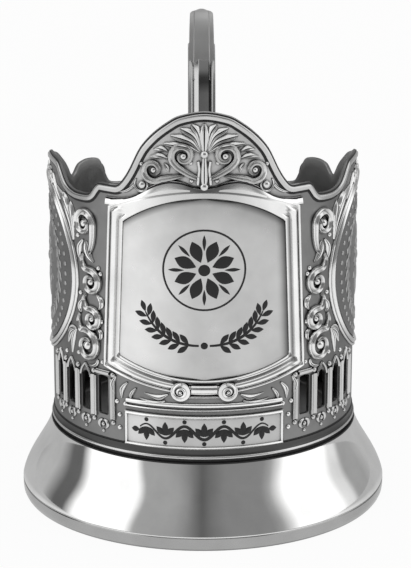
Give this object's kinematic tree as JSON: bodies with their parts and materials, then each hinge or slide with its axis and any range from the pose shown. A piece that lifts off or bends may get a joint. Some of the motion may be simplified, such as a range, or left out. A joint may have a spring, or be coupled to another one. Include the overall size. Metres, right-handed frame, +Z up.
{
  "type": "tea glass holder",
  "caption": "Openwork metal holder for a tea glass: rolled sleeve with a crowned rim, flared foot, framed front plate and a strap handle.",
  "frame": {"origin": "centre of the plane that the foot stands on", "axes": "+Z up along the sleeve's axis, the front plate faces -Y, the handle is at +Y"},
  "size_m": [0.0852, 0.108, 0.105],
  "materials": {
    "relief_silver": "nickel silver plate on brass, blackened in the recesses",
    "polished_silver": "nickel silver plate on brass, polished",
    "plain_silver": "nickel silver plate on brass, satin"
  },
  "bodies": {
    "root": {"body_sleeve": "relief_silver", "floor_disc": "plain_silver", "foot_skirt": "polished_silver", "lower_belt": "relief_silver", "cartouche_frame": "polished_silver", "front_plate": "plain_silver", "name_plate": "plain_silver", "side_frame_left": "relief_silver", "side_frame_right": "relief_silver", "side_plate_left": "relief_silver", "side_plate_right": "relief_silver", "handle_strap": "plain_silver", "thumb_rest": "plain_silver"}
  },
  "joints": []
}
